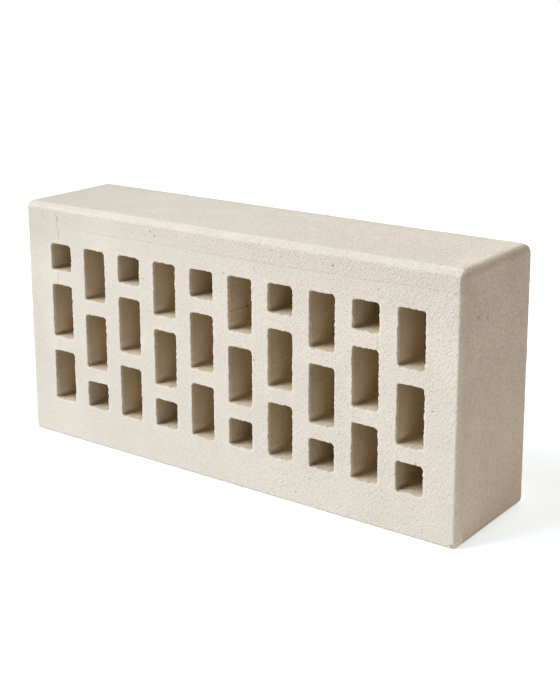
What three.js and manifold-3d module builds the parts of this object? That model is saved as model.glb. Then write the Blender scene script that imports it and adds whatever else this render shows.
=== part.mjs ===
// A perforated clay facing brick. It is one fired piece: clay is pushed through a die
// that gives its rounded corners and its slots, a wire cuts it to its thickness, and the
// cut edges of the three sides that show in a wall are then chamfered.
//
// Millimetres. X runs along the brick and Y through its thickness, from one cut face to
// the other. Z is up: the brick stands on its plain long side, and the origin is the
// middle of that side.

import * as THREE from "three";
import { mergeVertices } from "three/addons/utils/BufferGeometryUtils.js";
import Module from "manifold-3d";

// The block.
const LENGTH = 250;
const HEIGHT = 120; // the brick's width when it is laid in a wall
const THICKNESS = 60; // one course of a wall
const DIE_RADIUS = 4.5; // the four edges that the die forms
const CHAMFER = 2.8; // cut edges of the top and the two ends
const FOOT_RADIUS = 1; // cut edges of the plain side that it stands on

// The slots, which run from one cut face to the other.
const SLOT_WIDTH = 13.1;
const SHORT_SLOT = 13.2;
const MIDDLE_SLOT = 26.9;
const LONG_SLOT = 25.4;
const SLOT_RADIUS = 1.8;
const COLUMN_WEB = 9.2; // clay between two columns of slots
const ROW_WEB = 7.5; // clay between two slots of a column
const END_WALL = 17; // the least that an end wall may be

// Looks.
const CLAY_COLOUR = 0xe4ddd0;
const CLAY_ROUGHNESS = 0.9;

// How finely the round corners are drawn: a corner has twice as many facets.
const DIE_STEPS = 4;
const SLOT_STEPS = 2;
const FOOT_STEPS = 2;

// How far a cutting form stands past the clay that it trims.
const SPARE = 3;

const wasm = await Module();
wasm.setup();

const RIGHT_ANGLE = Math.PI / 2;
const COLUMN_PITCH = SLOT_WIDTH + COLUMN_WEB;

// Draws a rectangle with round corners into a Shape, or into a Path for a hole.
function roundedRectangle(outline, left, low, right, high, radius) {
  outline.moveTo(left + radius, low);
  outline.lineTo(right - radius, low);
  outline.absarc(right - radius, low + radius, radius, -RIGHT_ANGLE, 0);
  outline.lineTo(right, high - radius);
  outline.absarc(right - radius, high - radius, radius, 0, RIGHT_ANGLE);
  outline.lineTo(left + radius, high);
  outline.absarc(left + radius, high - radius, radius, RIGHT_ANGLE, 2 * RIGHT_ANGLE);
  outline.lineTo(left, low + radius);
  outline.absarc(left + radius, low + radius, radius, 2 * RIGHT_ANGLE, 3 * RIGHT_ANGLE);
  return outline;
}

// Turns a closed geometry into a solid that can be joined and cut.
function solidOf(geometry) {
  const bare = geometry.index ? geometry.toNonIndexed() : geometry.clone();
  bare.deleteAttribute("normal");
  bare.deleteAttribute("uv");
  const merged = mergeVertices(bare, 1e-4);
  return new wasm.Manifold(
    new wasm.Mesh({
      numProp: 3,
      vertProperties: merged.attributes.position.array,
      triVerts: new Uint32Array(merged.index.array),
    }),
  );
}

// Turns a solid back into a geometry with flat faces.
function geometryOf(solid) {
  const mesh = solid.getMesh();
  const shared = new THREE.BufferGeometry();
  shared.setAttribute("position", new THREE.BufferAttribute(mesh.vertProperties, 3));
  shared.setIndex(new THREE.BufferAttribute(mesh.triVerts, 1));
  const geometry = shared.toNonIndexed();
  geometry.computeVertexNormals();
  return geometry;
}

// The heights of one column's slots as [low, high], from the top down. Every second
// column is turned upside down, so that the short slots alternate along the brick.
function slotHeights(turned) {
  const lengths = [SHORT_SLOT, MIDDLE_SLOT, LONG_SLOT];
  const total = SHORT_SLOT + MIDDLE_SLOT + LONG_SLOT + 2 * ROW_WEB;
  let high = (HEIGHT + total) / 2;
  if (turned) lengths.reverse();
  return lengths.map((length) => {
    const low = high - length;
    const span = [low, high];
    high = low - ROW_WEB;
    return span;
  });
}

// The slots of the whole brick, as hole paths, in columns centred on the brick.
function slotPaths() {
  const room = LENGTH - 2 * END_WALL + COLUMN_WEB;
  const columns = Math.floor(room / COLUMN_PITCH);
  const paths = [];
  for (let column = 0; column < columns; column += 1) {
    const middle = (column - (columns - 1) / 2) * COLUMN_PITCH;
    const left = middle - SLOT_WIDTH / 2;
    const right = middle + SLOT_WIDTH / 2;
    for (const [low, high] of slotHeights(column % 2 === 1)) {
      const slot = roundedRectangle(new THREE.Path(), left, low, right, high, SLOT_RADIUS);
      paths.push(new THREE.Path(slot.getPoints(SLOT_STEPS)));
    }
  }
  return paths;
}

// What the die gives: a column of clay with round edges and slots, as long as asked.
function dieColumn(depth) {
  const section = new THREE.Shape();
  roundedRectangle(section, -LENGTH / 2, 0, LENGTH / 2, HEIGHT, DIE_RADIUS);
  section.holes = slotPaths();
  const geometry = new THREE.ExtrudeGeometry(section, {
    depth,
    bevelEnabled: false,
    curveSegments: DIE_STEPS,
  });
  geometry.rotateX(RIGHT_ANGLE);
  geometry.translate(0, depth / 2, 0);
  return solidOf(geometry);
}

// The brick seen from one end, drawn along its length: the two cut faces, the long
// chamfers at the top and the worn edges at the foot.
function endElevation() {
  const half = THICKNESS / 2;
  const over = CHAMFER + SPARE;
  const outline = new THREE.Shape();
  outline.moveTo(FOOT_RADIUS - half, 0);
  outline.lineTo(half - FOOT_RADIUS, 0);
  outline.absarc(half - FOOT_RADIUS, FOOT_RADIUS, FOOT_RADIUS, -RIGHT_ANGLE, 0);
  outline.lineTo(half, HEIGHT - CHAMFER);
  outline.lineTo(half - over, HEIGHT + SPARE);
  outline.lineTo(over - half, HEIGHT + SPARE);
  outline.lineTo(-half, HEIGHT - CHAMFER);
  outline.lineTo(-half, FOOT_RADIUS);
  outline.absarc(FOOT_RADIUS - half, FOOT_RADIUS, FOOT_RADIUS, 2 * RIGHT_ANGLE, 3 * RIGHT_ANGLE);
  const length = LENGTH + 2 * SPARE;
  const geometry = new THREE.ExtrudeGeometry(outline, {
    depth: length,
    bevelEnabled: false,
    curveSegments: FOOT_STEPS,
  });
  geometry.rotateX(RIGHT_ANGLE);
  geometry.rotateZ(RIGHT_ANGLE);
  geometry.translate(-length / 2, 0, 0);
  return solidOf(geometry);
}

// The brick seen from above, drawn up through its height: the chamfers of the four
// upright edges, which run straight down to the foot.
function planView() {
  const endX = LENGTH / 2 + SPARE;
  const faceY = THICKNESS / 2 + SPARE;
  const over = CHAMFER + 2 * SPARE;
  const outline = new THREE.Shape();
  outline.moveTo(-endX + over, -faceY);
  outline.lineTo(endX - over, -faceY);
  outline.lineTo(endX, -faceY + over);
  outline.lineTo(endX, faceY - over);
  outline.lineTo(endX - over, faceY);
  outline.lineTo(-endX + over, faceY);
  outline.lineTo(-endX, faceY - over);
  outline.lineTo(-endX, -faceY + over);
  const geometry = new THREE.ExtrudeGeometry(outline, {
    depth: HEIGHT + 2 * SPARE,
    bevelEnabled: false,
  });
  geometry.translate(0, 0, -SPARE);
  return solidOf(geometry);
}

function makeBrick() {
  const solid = dieColumn(THICKNESS + 2 * SPARE)
    .intersect(endElevation())
    .intersect(planView());
  const clay = new THREE.MeshStandardMaterial({
    color: CLAY_COLOUR,
    roughness: CLAY_ROUGHNESS,
    metalness: 0,
  });
  const brick = new THREE.Mesh(geometryOf(solid), clay);
  brick.name = "brick";
  return brick;
}

const part = new THREE.Group();
part.add(makeBrick());

export default part;
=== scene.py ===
# %% [markdown]
# # A perforated clay facing brick
#
# The real brick is one piece of fired clay. Soft clay is pushed through a die, which gives
# the round long edges and the thirty slots. A wire then cuts the column into bricks, so the
# two faces that the slots open on are rough and sandy, and the other four are smoother.
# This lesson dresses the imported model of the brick: it loads the frame, sets the camera and
# the light, works the surface out with numpy, and mixes a procedural fired clay for it.

# %% Load the frame
import math

import bpy
import numpy as np
from mathutils import Matrix, Vector


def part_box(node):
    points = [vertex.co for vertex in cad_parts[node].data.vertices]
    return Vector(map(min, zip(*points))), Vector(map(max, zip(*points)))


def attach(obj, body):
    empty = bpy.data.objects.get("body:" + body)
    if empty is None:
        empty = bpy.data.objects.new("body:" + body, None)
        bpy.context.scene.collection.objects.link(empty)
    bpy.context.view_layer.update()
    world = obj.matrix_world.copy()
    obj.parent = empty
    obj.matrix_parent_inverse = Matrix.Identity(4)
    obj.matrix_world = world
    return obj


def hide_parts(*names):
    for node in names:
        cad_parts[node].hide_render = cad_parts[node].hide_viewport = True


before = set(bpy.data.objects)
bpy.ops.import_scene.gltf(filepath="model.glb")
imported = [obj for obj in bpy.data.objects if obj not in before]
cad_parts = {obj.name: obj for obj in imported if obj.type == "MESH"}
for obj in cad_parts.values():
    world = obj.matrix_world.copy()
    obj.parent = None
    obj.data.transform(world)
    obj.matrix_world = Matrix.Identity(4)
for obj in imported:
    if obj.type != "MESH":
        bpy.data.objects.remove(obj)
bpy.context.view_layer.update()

box_low, box_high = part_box("brick")
BRICK_SIZE = [round(1000 * (b - a), 3) for a, b in zip(box_low, box_high)]
print("brick in the frame, mm:", BRICK_SIZE)

# %% [markdown]
# ## The camera
#
# The brick is looked at from its right and from above, so that the near cut face, the top
# and the right end all show. The upright edges hardly lean towards each other, because the
# lens is shifted down instead of tilted further. A camera's own axes are its right, its up
# and its back, so the three of them as columns are its turn.

# %% Camera
FRAME_WIDTH, FRAME_HEIGHT = 560, 700  # pixels
CAMERA_PLACE = (0.370593, -0.490482, 0.251145)
CAMERA_YAW = math.radians(36.184)  # to the left of straight ahead
CAMERA_PITCH = math.radians(-13.120)
CAMERA_ROLL = math.radians(-0.170)
FOCAL_PIXELS = 1352.957
SENSOR = 36.0  # millimetres, along the frame's longer side
LENS_SHIFT = -0.15  # of the frame's longer side

forward = Vector(
    (
        -math.sin(CAMERA_YAW) * math.cos(CAMERA_PITCH),
        math.cos(CAMERA_YAW) * math.cos(CAMERA_PITCH),
        math.sin(CAMERA_PITCH),
    )
)
level = Vector((math.cos(CAMERA_YAW), math.sin(CAMERA_YAW), 0.0))
upright = level.cross(forward)
right = math.cos(CAMERA_ROLL) * level + math.sin(CAMERA_ROLL) * upright
up = math.cos(CAMERA_ROLL) * upright - math.sin(CAMERA_ROLL) * level

lens = bpy.data.cameras.new("camera")
lens.sensor_width = SENSOR
lens.lens = FOCAL_PIXELS * SENSOR / max(FRAME_WIDTH, FRAME_HEIGHT)
lens.shift_y = LENS_SHIFT
lens.clip_start, lens.clip_end = 0.01, 100.0
camera = bpy.data.objects.new("camera", lens)
camera.matrix_world = Matrix.LocRotScale(
    Vector(CAMERA_PLACE), Matrix((right, up, -forward)).transposed(), None
)
bpy.context.collection.objects.link(camera)
bpy.context.scene.camera = camera
print("lens, mm:", round(lens.lens, 2))

# %% [markdown]
# ## Small helpers for node trees
#
# A node tree is easier to read when each node takes one line. `put` adds a node, and every
# input it is given is either a plain value or the output of another node. `calc` is a Math
# node, `ramp` a Map Range node that clamps, and `blend` a Mix node for colours.

# %% Node helpers
def feed(tree, socket, value):
    """Gives an input a plain value, or links it to another node's output."""
    if isinstance(value, bpy.types.NodeSocket):
        tree.links.new(value, socket)
    else:
        socket.default_value = value


def put(tree, kind, inputs=None, **settings):
    """Adds one node. Settings are its properties; inputs are values or other outputs."""
    node = tree.nodes.new(kind)
    for name, value in settings.items():
        setattr(node, name, value)
    for key, value in (inputs or {}).items():
        feed(tree, node.inputs[key], value)
    return node


def calc(tree, operation, *values, clamp=False):
    """A Math node: its result is the operation on the values, kept in 0 to 1 if asked."""
    inputs = dict(enumerate(values))
    return put(tree, "ShaderNodeMath", inputs, operation=operation, use_clamp=clamp).outputs[0]


def vector_calc(tree, operation, first, second=None, scale=None):
    """A Vector Math node."""
    inputs = {0: first}
    if second is not None:
        inputs[1] = second
    if scale is not None:
        inputs["Scale"] = scale
    node = put(tree, "ShaderNodeVectorMath", inputs, operation=operation)
    return node.outputs["Value" if operation in ("DOT_PRODUCT", "LENGTH") else "Vector"]


def ramp(tree, value, start, end, low=0.0, high=1.0):
    """Takes start..end to low..high with a soft S curve, and stays flat outside."""
    names = ("Value", "From Min", "From Max", "To Min", "To Max")
    inputs = dict(zip(names, (value, start, end, low, high)))
    settings = dict(interpolation_type="SMOOTHSTEP")
    return put(tree, "ShaderNodeMapRange", inputs, **settings).outputs["Result"]


def blend(tree, kind, factor, first, second):
    """A Mix node for colours: first where the factor is 0, second where it is 1. Its
    inputs and output for colours come after those for plain values and vectors."""
    settings = dict(data_type="RGBA", blend_type=kind)
    return put(tree, "ShaderNodeMix", {0: factor, 6: first, 7: second}, **settings).outputs[2]


def linear(red, green, blue):
    """A colour given as 0 to 255 on a screen, as the straight-line values nodes want: the
    sRGB curve undone, which is a power of 2.4 but for a short straight start."""
    parts = [part / 255 for part in (red, green, blue)]
    return tuple(
        part / 12.92 if part <= 0.04045 else ((part + 0.055) / 1.055) ** 2.4 for part in parts
    ) + (1.0,)


print("a middle grey for the nodes:", [round(part, 3) for part in linear(128, 128, 128)])

# %% [markdown]
# ## Studio light
#
# The key lamp is a softbox in front of the brick, to its left and above it: it lights the
# cut face and the top, and leaves the right end and the slots to the room. The room is the
# world's light: it comes from a lit backdrop behind the brick and fades round to nothing in
# front of it. Together they are at a level where a colour renders about as it is written.
# The world shows as plain white to the camera, and in gloss, whatever light it gives.

# %% Key lamp
KEY_AZIMUTH = math.radians(-44)  # from straight in front, towards the left
KEY_HEIGHT = math.radians(39)
KEY_DISTANCE = 6.0
KEY_SIZE = 3.8
KEY_LEVEL = 1.19  # what the lamp alone gives a white card that faces it
KEY_COLOUR = (0.99, 1.0, 1.01)
LIT_HEIGHT = 0.06  # the lamp aims at the middle of the brick's height


def softbox(name, azimuth, height, distance, size, level, colour):
    """A square area lamp aimed at the brick. A card that faces a lamp of P watts at d
    metres shines with P over (pi squared times d squared), which gives its power."""
    lamp = bpy.data.lights.new(name, "AREA")
    lamp.shape, lamp.size = "SQUARE", size
    lamp.energy = level * (math.pi * distance) ** 2
    lamp.color = colour
    away = Vector(
        (
            math.sin(azimuth) * math.cos(height),
            -math.cos(azimuth) * math.cos(height),
            math.sin(height),
        )
    )
    middle = Vector((0.0, 0.0, LIT_HEIGHT))
    stand = bpy.data.objects.new(name, lamp)
    stand.matrix_world = Matrix.LocRotScale(
        middle + away * distance, away.to_track_quat("Z", "Y"), None
    )
    bpy.context.collection.objects.link(stand)
    return lamp


key = softbox("key_softbox", KEY_AZIMUTH, KEY_HEIGHT, KEY_DISTANCE, KEY_SIZE, KEY_LEVEL, KEY_COLOUR)
print("key lamp, watts:", round(key.energy))

# %% [markdown]
# The world's strength is the cosine of the angle to the middle of the backdrop, which gives
# a soft light with no edge. Rays that show the background get plain white instead.

# %% Room
BACKDROP_LEVEL = 1.18
BACKDROP_WAY = (0.15, 0.98, 0.1)
ROOM_COLOUR = (1.16, 1.0, 0.83, 1.0)
WHITE = (1.0, 1.0, 1.0, 1.0)


def seen_rays(tree):
    """1 for rays that show the background: from the camera, in gloss or through glass."""
    path = put(tree, "ShaderNodeLightPath").outputs
    shown = calc(tree, "MAXIMUM", path["Is Camera Ray"], path["Is Glossy Ray"])
    return calc(tree, "MAXIMUM", shown, path["Is Transmission Ray"])


world = bpy.data.worlds.new("room")
bpy.context.scene.world = world
world.use_nodes = True
tree = world.node_tree
tree.nodes.clear()
way = put(tree, "ShaderNodeTexCoord").outputs["Generated"]
facing = calc(tree, "MAXIMUM", vector_calc(tree, "DOT_PRODUCT", way, BACKDROP_WAY), 0.0)
strength = calc(tree, "MULTIPLY", facing, BACKDROP_LEVEL)
room = put(tree, "ShaderNodeBackground", {"Color": ROOM_COLOUR, "Strength": strength}).outputs[0]
white = put(tree, "ShaderNodeBackground", {"Color": WHITE, "Strength": 1.0}).outputs[0]
around = put(tree, "ShaderNodeMixShader", {0: seen_rays(tree), 1: room, 2: white}).outputs[0]
put(tree, "ShaderNodeOutputWorld", {"Surface": around})
bpy.context.scene.view_settings.view_transform = "Standard"
print("nodes in the room:", len(tree.nodes))

# %% [markdown]
# ## The floor
#
# The floor is a large pale disc under the brick, made of rings that lie closer together near
# it. Far away it turns to plain white for the camera, so that no horizon shows, and near the
# brick it keeps the soft shadow.

# %% Floor
FLOOR_RADII = np.array([0.15, 0.4, 1.0, 2.5, 8.0])
SPOKES = 64


def disc(radii, spokes):
    """A flat disc of rings: a point is its radius times the cosine and the sine of its
    spoke's angle. Four-cornered faces join the rings, and one face fills the middle."""
    angles = np.linspace(0, 2 * math.pi, spokes, endpoint=False)
    flat = [np.outer(radii, np.cos(angles)), np.outer(radii, np.sin(angles))]
    rings = np.stack(flat + [0 * flat[0]], -1).reshape(-1, 3)
    inner = np.arange(len(radii) - 1)[:, None] * spokes
    spoke = np.arange(spokes)[None]
    after = (spoke + 1) % spokes
    outer = inner + spokes
    quads = np.stack([inner + spoke, outer + spoke, outer + after, inner + after], -1)
    return rings.tolist(), quads.reshape(-1, 4).tolist() + [list(range(spokes))]


floor_points, floor_faces = disc(FLOOR_RADII, SPOKES)
floor_mesh = bpy.data.meshes.new("floor")
floor_mesh.from_pydata(floor_points, [], floor_faces)
floor = bpy.data.objects.new("floor", floor_mesh)
bpy.context.collection.objects.link(floor)
print("floor faces:", len(floor_faces))

# %% [markdown]
# The floor's paper has one colour for the light it gives back to the brick and another for
# the camera: the brick's shadow is filled by the warm room, so a cool paper makes it neutral.

# %% Paper
FLOOR_COLOUR = (0.86, 0.86, 0.86, 1.0)
FLOOR_SEEN = (0.71, 0.86, 1.0, 1.0)
FLOOR_LIFT = 0.6  # how much white the camera sees added to the floor near the brick
FADE_START, FADE_END = 0.35, 1.6  # metres from the brick's middle

paper = bpy.data.materials.new("studio_paper")
paper.use_nodes = True
tree = paper.node_tree
tree.nodes.clear()
place = put(tree, "ShaderNodeTexCoord").outputs["Object"]
distance = vector_calc(tree, "LENGTH", place)
seen = seen_rays(tree)
floor_tone = blend(tree, "MIX", seen, FLOOR_COLOUR, FLOOR_SEEN)
lit = put(tree, "ShaderNodeBsdfDiffuse", {"Color": floor_tone}).outputs[0]
lift = calc(tree, "MULTIPLY", seen, FLOOR_LIFT)
glow = put(tree, "ShaderNodeEmission", {"Color": WHITE, "Strength": lift}).outputs[0]
near = put(tree, "ShaderNodeAddShader", {0: lit, 1: glow}).outputs[0]
far = put(tree, "ShaderNodeEmission", {"Color": WHITE, "Strength": 1.0}).outputs[0]
fade = calc(tree, "MULTIPLY", ramp(tree, distance, FADE_START, FADE_END), seen)
paper_mix = put(tree, "ShaderNodeMixShader", {0: fade, 1: near, 2: far}).outputs[0]
put(tree, "ShaderNodeOutputMaterial", {"Surface": paper_mix})
floor_mesh.materials.append(paper)
print("nodes in the paper:", len(tree.nodes))

# %% [markdown]
# ## The brick's measures
#
# All lengths here are in millimetres, as a brick maker gives them, and the finished mesh is
# scaled to metres. The brick's own size comes from the frame. The slots stand in ten columns
# of three. Each column has a short, a middle and a long slot, and every second column is
# turned upside down.

# %% Measures
LENGTH, THICKNESS, HEIGHT = BRICK_SIZE
DIE_RADIUS = 4.5
CHAMFER = 2.8
FOOT_RADIUS = 1.0
SLOT_WIDTH = 13.1
SLOT_RADII = (1.5, 1.0, 1.7, 1.3)  # foot-left, foot-right, top-right, top-left
SLOT_HEIGHTS = (13.2, 26.9, 25.4)
COLUMN_PITCH = 22.3
ROW_WEB = 7.5
COLUMNS = 10

FIELD_X = COLUMNS * COLUMN_PITCH / 2  # the slots' part of the face, cut into cells
FIELD_FOOT, FIELD_TOP = 16.0, 104.0


def column_slots(column):
    """The low and high edge of a column's three slots, from the top down. They and the
    webs between them are centred on the brick's height."""
    heights = SLOT_HEIGHTS if column % 2 == 0 else SLOT_HEIGHTS[::-1]
    top = (HEIGHT + sum(SLOT_HEIGHTS) + 2 * ROW_WEB) / 2
    slots = []
    for height in heights:
        slots.append((top - height, top))
        top -= height + ROW_WEB
    return slots


def column_levels(column):
    """The heights where a column's cells meet: the field's edges, and mid-web between."""
    slots = column_slots(column)
    webs = [slots[i][0] - ROW_WEB / 2 for i in range(2)]
    return [FIELD_FOOT, webs[1], webs[0], FIELD_TOP]


levels = sorted(set(column_levels(0)) | set(column_levels(1)))
print("cell levels, mm:", [round(value, 2) for value in levels])

# %% [markdown]
# ## Noise for the clay's relief
#
# Clay is never quite even. Gradient noise gives each corner of a cubic lattice a fixed
# random direction; a point takes the eight slopes around it and blends them with a smooth
# weight. The directions are drawn once, from a fixed seed, and a cell's own numbers pick
# one of them, so the brick comes out the same every time.

# %% Noise
draw = np.random.default_rng(41)
SLOPES = draw.normal(size=(512, 3))
SLOPES /= np.linalg.norm(SLOPES, axis=1)[:, None]
CELL_KEYS = np.array([73856093, 19349663, 83492791])  # primes that scatter the cells
SEED_KEY, MIX_KEY = 97531, 668265263
SEED_SHIFT = 0.37  # cells, so that the lattices of two seeds don't coincide
NOISE_GAIN = 1.7  # stretches the blend to about -1 to 1


def noise(points, size, seed):
    """Smooth noise of about -1 to 1 whose lumps are `size` millimetres across. The eight
    lattice corners around a point give slope times distance, blended by 6t^5-15t^4+10t^3."""
    place = points / np.asarray(size, float) + SEED_SHIFT * seed
    cell = np.floor(place).astype(np.int64)
    part = place - cell
    weight = part**3 * (part * (6 * part - 15) + 10)
    total = np.zeros(points.shape[:-1])
    for corner in np.ndindex(2, 2, 2):
        spread = (cell + corner) * CELL_KEYS
        key = spread[..., 0] ^ spread[..., 1] ^ spread[..., 2] ^ (seed * SEED_KEY)
        key = ((key ^ (key >> 15)) * MIX_KEY) & 0x7FFFFFFF
        slope = SLOPES[(key >> 7) % len(SLOPES)]
        share = np.prod(np.where(corner, weight, 1 - weight), axis=-1)
        total += share * np.sum(slope * (part - corner), axis=-1)
    return NOISE_GAIN * total


def layered(points, layers, mean=0.0):
    """A mean plus noises, each given by its strength, its size and its seed."""
    return sum((strength * noise(points, size, seed) for strength, size, seed in layers), mean)


def soft_step(value, start, end):
    """0 below start, 1 above end, and an S curve between."""
    t = np.clip((value - start) / (end - start), 0, 1)
    return t * t * (3 - 2 * t)


trial = noise(np.linspace([0, 0, 0], [90, 40, 70], 2000), 3.0, 1)
print("noise along a line runs from", round(trial.min(), 2), "to", round(trial.max(), 2))


# %% [markdown]
# ## Outlines with round corners
#
# Both the slots and the brick's own outline are rectangles with round corners. Each side is
# walked from the middle of one corner's arc to the middle of the next, so that a grid that
# has four plain corners can follow it. The walk also gives the outward direction.

# %% Rounded outlines
def walk_side(along, length, first, last):
    """Points on one side of a rounded rectangle, as (distance along the straight edge, rise
    over it), and their outward directions. `along` is measured on the curve from the middle
    of the first corner's arc; first and last are the two corners' radii."""
    start = first * math.pi / 4
    straight = length - first - last
    a = math.pi / 4 + np.clip(along / first, 0, math.pi / 4)
    b = np.clip((along - start - straight) / last, 0, math.pi / 4)
    x = first + np.clip(along - start, 0, straight)
    on_first, on_last = along < start, along > start + straight
    x = np.where(on_first, first - first * np.cos(a), x)
    x = np.where(on_last, length - last + last * np.sin(b), x)
    rise = np.where(on_first, first * (np.sin(a) - 1), 0.0)
    rise = np.where(on_last, last * (np.cos(b) - 1), rise)
    out_x = np.where(on_first, -np.cos(a), np.where(on_last, np.sin(b), 0.0))
    out_y = np.where(on_first, np.sin(a), np.where(on_last, np.cos(b), 1.0))
    return np.stack([x, rise], -1), np.stack([out_x, out_y], -1)


SIDES = (  # the way each side runs, and the way it faces: foot, right, top, left
    ((1, 0), (0, -1)),
    ((0, 1), (1, 0)),
    ((-1, 0), (0, 1)),
    ((0, -1), (-1, 0)),
)


def walk_outline(box, radii, walks):
    """A closed outline in x and z, as points and outward directions. The box is left, foot,
    right, top; radii belong to the corners foot-left, foot-right, top-right, top-left; each
    walk says how far along its side the points are. Each side leaves out its last point."""
    left, foot, right, top = box
    corners = ((left, foot), (right, foot), (right, top), (left, top))
    places, ways = [], []
    for side, (run, face) in enumerate(SIDES):
        length = (right - left, top - foot)[side % 2]
        place, way = walk_side(walks[side], length, radii[side], radii[(side + 1) % 4])
        axes = np.array([run, face], float)
        places.append((corners[side] + place @ axes)[:-1])
        ways.append((way @ axes)[:-1])
    return np.concatenate(places), np.concatenate(ways)


corner_way = walk_side(np.zeros(1), SLOT_WIDTH, *SLOT_RADII[:2])[1][0]
print("outward from the middle of a corner's arc:", corner_way.round(3).tolist())


# %% [markdown]
# ## How finely the surface is sampled
#
# The mesh is a set of grids that share their edge points. Every column has the same levels,
# so a cell's edge always meets its neighbour's point for point. Outside the field, the
# lines gather towards the brick's corners, where the surface turns.

# %% Samples
ACROSS = 25  # grid lines over one column
LEVEL_STEPS = (30, 18, 33, 18, 30)  # and between one cell level and the next
EDGE_SHARES = np.array([0, 0.06, 0.12, 0.18, 0.25, 0.34, 0.6, 1.0])  # from outline to field
EDGE = len(EDGE_SHARES) - 1
MITRE_RADIUS, MITRE_BLEND = 0.9, 0.6  # millimetres

field_x = np.linspace(-FIELD_X, FIELD_X, COLUMNS * ACROSS + 1)
field_z = np.concatenate(
    [np.linspace(a, b, n + 1)[:-1] for a, b, n in zip(levels, levels[1:], LEVEL_STEPS)]
    + [[FIELD_TOP]]
)
LEVEL_AT = dict(zip(np.round(levels, 3), np.cumsum((0,) + LEVEL_STEPS)))


def both_ends(first, middle, last):
    """How far along a side its points are: a gathered start, the field's lines, and a
    gathered end. The middle is the distances between the field's edge and its lines."""
    start = first * EDGE_SHARES[:-1]
    finish = first + middle[-1] + last * (1 - EDGE_SHARES[::-1])[1:]
    return np.concatenate([start, first + middle, finish])


def brick_outline(side_inset, top_inset, foot_inset):
    """The brick's outline, drawn in by the insets. Where a chamfer takes the die's round
    corner away, the radius shrinks by the mean inset times 1 / (1 - sqrt(1/2)), softly down
    to that of the worn mitre where the two chamfers meet."""
    box = (-LENGTH / 2 + side_inset, foot_inset, LENGTH / 2 - side_inset, HEIGHT - top_inset)
    radii = []
    for other in (foot_inset, foot_inset, top_inset, top_inset):
        lean = DIE_RADIUS - (side_inset + other) / 2 * math.sqrt(2) / (math.sqrt(2) - 1)
        spare = lean - MITRE_RADIUS
        radii.append(MITRE_RADIUS + (spare + math.hypot(spare, MITRE_BLEND)) / 2)
    turn = [radius * (math.pi / 4 - 1) for radius in radii]
    sideways = LENGTH / 2 - FIELD_X - side_inset
    foot, top = FIELD_FOOT - foot_inset, HEIGHT - FIELD_TOP - top_inset
    flat, tall = field_x - field_x[0], field_z - field_z[0]
    walks = (
        both_ends(sideways + turn[0], flat, sideways + turn[1]),
        both_ends(foot + turn[1], tall, top + turn[2]),
        both_ends(sideways + turn[2], flat, sideways + turn[3]),
        both_ends(top + turn[3], tall[-1] - tall[::-1], foot + turn[0]),
    )
    return walk_outline(box, radii, walks)


print("lines across and up the field:", len(field_x), len(field_z))

# %% [markdown]
# ## A slot, from one cut face to the other
#
# A slot and the clay around its two mouths are one surface: rings that start on the cell's
# border, close in on the mouth, turn over its edge, run down the wall to mid-depth, and come
# out the same way at the other face. The wire tears the soft clay a little, so the edge is
# ragged, its rounding comes and goes, and here and there a crumb has broken off. The clay
# is pulled over the foot of a slot, so that edge is torn most. Each point also gets five
# marks, which the material reads.

# %% Marks of a slot
MARKS = ("slot_depth", "wire_cut", "edge", "sill", "slot_rise")


def lay(flat, depth, side):
    """Puts points of x and z at a depth under a cut face: side -1 is the near face."""
    y = side * (THICKNESS / 2 - depth) + 0 * flat[:, 0]
    return np.stack([flat[:, 0], y, flat[:, 1]], -1)


def slot_marks(mouth, outward, depth, cut, edge):
    """The marks of one ring's points: depth as a share of the way to mid-depth, share of
    cut face, share of edge, inside the slot how nearly the point faces up, as its sill
    does, and how far up from the sill it is, as a share of the slot's height."""
    sill = np.clip(-outward[:, 1], 0, 1) * (depth > 0)
    rise = (mouth[:, 1] - mouth[:, 1].min()) / np.ptp(mouth[:, 1])
    return np.stack([0 * sill + depth, 0 * sill + cut, 0 * sill + edge, sill, rise], -1)


print("marks of each point:", ", ".join(MARKS))

# %% [markdown]
# The tearing is a sum of noises of a few sizes, and a crumb is gone where another noise
# rises over a limit. Both are taken at the mouth, so all its rings move together, and the
# tearing dies away within a few millimetres on the face and down the wall.

# %% Rings of a mouth
FACE_RINGS = (  # share of the way from the mouth to the cell's border, raggedness, edge mark
    (1.0, 0.0, 0.0),
    (0.5, 0.0, 0.0),
    (0.14, 0.5, 0.5),
    (0.0, 1.0, 1.0),
)
WALL_RINGS = (  # share of the way from the rounding to mid-depth, raggedness, edge mark
    (0.0, 1.0, 0.8),
    (0.03, 0.6, 0.35),
    (0.14, 0.1, 0.0),
    (0.5, 0.0, 0.0),
)
TEAR = ((0.1, 2.8, 11), (0.27, 1.4, 12), (0.2, 0.9, 13))  # strength, size and seed
FOOT_TEAR = ((0.25, 4.0, 19), (0.2, 1.3, 20))
FOOT_TEAR_MEAN = 0.15
WANDER = ((0.1, 9.0, 14),)
CRUMBS = ((1.0, 2.2, 15), (0.25, 1.0, 16))
CRUMB_START, CRUMB_END, CRUMB_RADIUS = 0.62, 0.95, 0.6
ROUNDING = ((0.1, 1.6, 17),)
MEAN_ROUNDING = 0.28
WORN_FOOT, WORN_RIGHT, SPARED_LEFT = 0.2, 0.3, 0.12  # what the rounding gains or loses
BURR = ((1.0, 1.5, 18),)
BURR_HEIGHT = 0.2


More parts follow.
